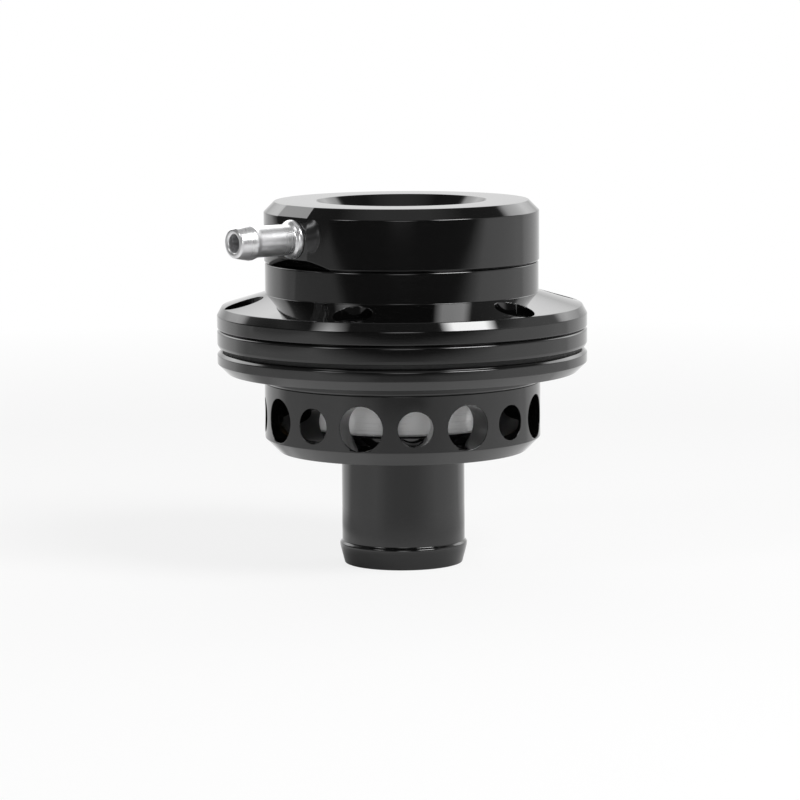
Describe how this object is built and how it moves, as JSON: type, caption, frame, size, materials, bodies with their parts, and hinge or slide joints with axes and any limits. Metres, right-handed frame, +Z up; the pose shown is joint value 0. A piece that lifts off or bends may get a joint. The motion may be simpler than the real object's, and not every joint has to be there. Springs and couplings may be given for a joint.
{
  "type": "blow off valve",
  "caption": "Black turned diaphragm blow off valve with a hose spigot, a perforated vent chamber, bolted flanges and a dished cap with a side vacuum nipple.",
  "frame": {"origin": "centre of the hose spigot's lower rim, on the valve's axis", "axes": "+Z up along the valve's axis; one large vent hole and one flange screw lie on -Y; the vacuum nipple points 34.5 degrees from -Y towards -X"},
  "size_m": [0.075, 0.075, 0.0738],
  "materials": {
    "black_anodised": "glossy black anodised turned aluminium",
    "silver_alloy": "bright turned aluminium",
    "steel": "plain steel",
    "black_screw": "black oxide steel",
    "rubber": "matte black rubber",
    "bronze": "bearing bronze"
  },
  "bodies": {
    "housing": {"hose_spigot": "black_anodised", "vent_chamber": "black_anodised", "lower_flange": "black_anodised", "guide_bush": "bronze", "piston_wiper": "rubber", "bush_retaining_ring": "steel", "clamp_ring": "black_anodised", "housing_o_ring": "rubber", "flange_screws": "black_screw", "upper_housing": "black_anodised", "cap_o_ring": "rubber", "top_cap": "black_anodised", "vacuum_nipple": "silver_alloy", "spring_seat": "steel", "main_spring": "steel", "diaphragm": "rubber"},
    "valve": {"valve_piston": "silver_alloy", "piston_face_seal": "rubber", "threaded_insert": "bronze", "lower_diaphragm_plate": "silver_alloy", "upper_diaphragm_plate": "silver_alloy", "centre_washer": "steel", "centre_screw": "steel"}
  },
  "joints": [
    {"name": "valve_lift", "type": "slide", "parent": "housing", "child": "valve", "axis": [0, 0, 1], "range_m": [0, 0.006], "stiffness_N_per_m": 2500, "springref_m": -0.006, "deforming": ["main_spring", "diaphragm"]}
  ]
}
